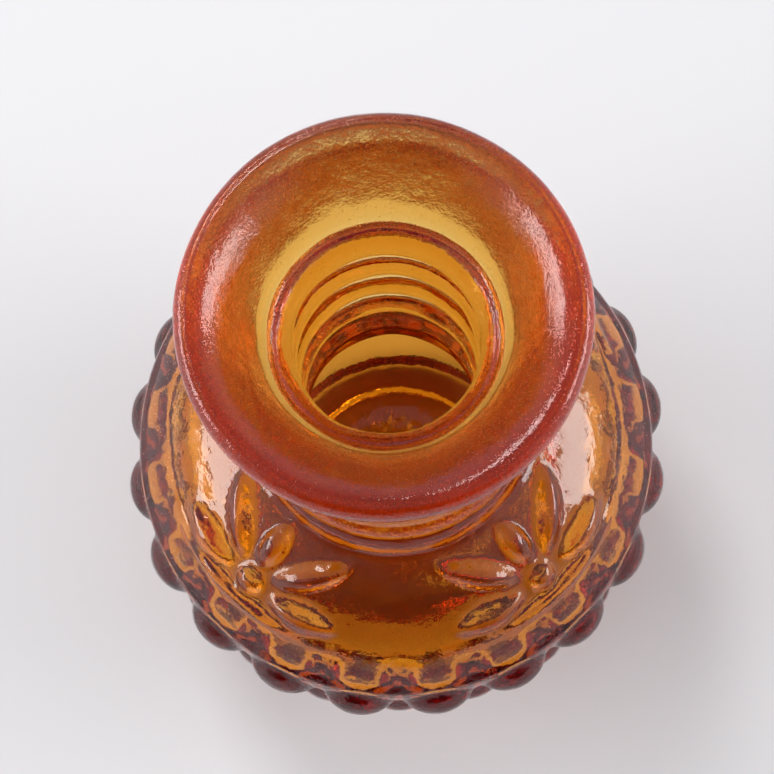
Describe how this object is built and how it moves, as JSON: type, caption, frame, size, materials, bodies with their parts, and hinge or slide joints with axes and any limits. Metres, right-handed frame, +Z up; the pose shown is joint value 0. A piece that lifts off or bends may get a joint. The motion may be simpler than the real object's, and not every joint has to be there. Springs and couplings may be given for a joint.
{
  "type": "glass bud vase",
  "caption": "Small moulded amber glass bud vase: rolled lip, flared mouth, ringed neck, round body with raised daisies and staggered rows of long beads.",
  "frame": {"origin": "centre of the face that the foot stands on", "axes": "+Z up along the vase's axis of revolution; a bead of the lower row is centred on +X"},
  "size_m": [0.0866, 0.0866, 0.12],
  "materials": {
    "amber_glass": "glossy fire-polished amber glass"
  },
  "bodies": {
    "root": {"lip": "amber_glass", "mouth_flare": "amber_glass", "neck_tube": "amber_glass", "neck_rings": "amber_glass", "neck_collar": "amber_glass", "shoulder": "amber_glass", "daisy_petals": "amber_glass", "daisy_buttons": "amber_glass", "daisy_ground_arcs": "amber_glass", "girdle_rib": "amber_glass", "belly_wall": "amber_glass", "upper_beads": "amber_glass", "lower_beads": "amber_glass", "heel": "amber_glass", "foot_and_floor": "amber_glass"}
  },
  "joints": []
}
